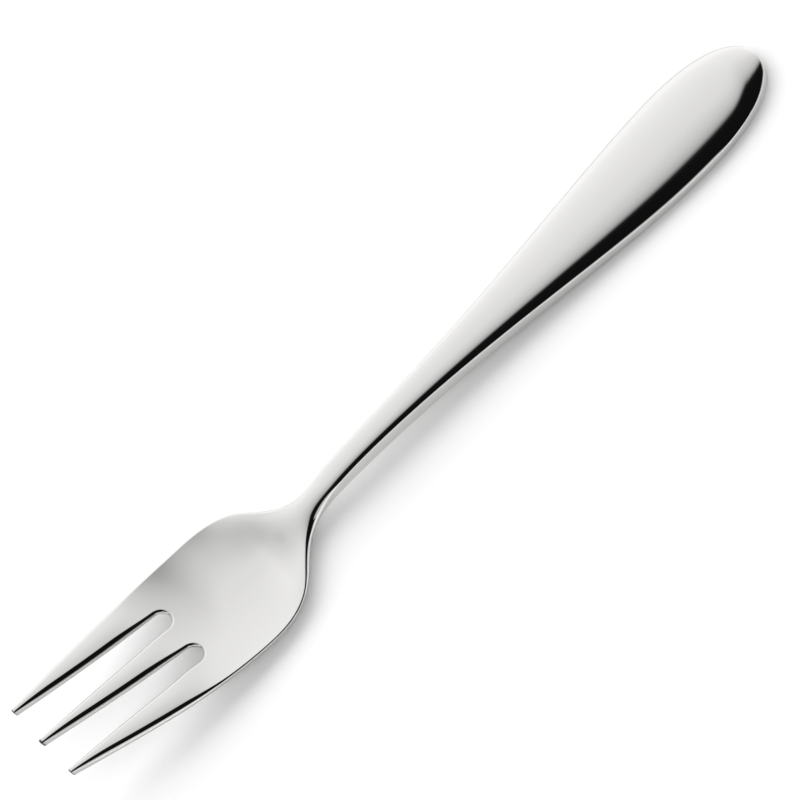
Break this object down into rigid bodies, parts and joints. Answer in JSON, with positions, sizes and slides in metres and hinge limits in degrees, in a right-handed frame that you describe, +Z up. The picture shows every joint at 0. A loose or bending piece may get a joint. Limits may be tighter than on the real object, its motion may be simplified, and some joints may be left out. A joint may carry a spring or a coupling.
{
  "type": "pastry fork",
  "caption": "Small one-piece steel table fork with tapered tines, a shallow dished bowl, a slim arched neck and a drop-shaped handle with a domed top.",
  "frame": {"origin": "on the table that the fork lies on, under the middle of its length and width", "axes": "+X along the fork from the tine tips to the handle's end, +Y across it to the right tine as the fork is held, +Z up"},
  "size_m": [0.155, 0.0242, 0.0125],
  "materials": {
    "polished_steel": "mirror-polished stainless steel, one piece, bare and uncoated"
  },
  "bodies": {
    "root": {"left_tine": "polished_steel", "middle_tine": "polished_steel", "right_tine": "polished_steel", "bowl": "polished_steel", "neck": "polished_steel", "handle": "polished_steel"}
  },
  "joints": []
}
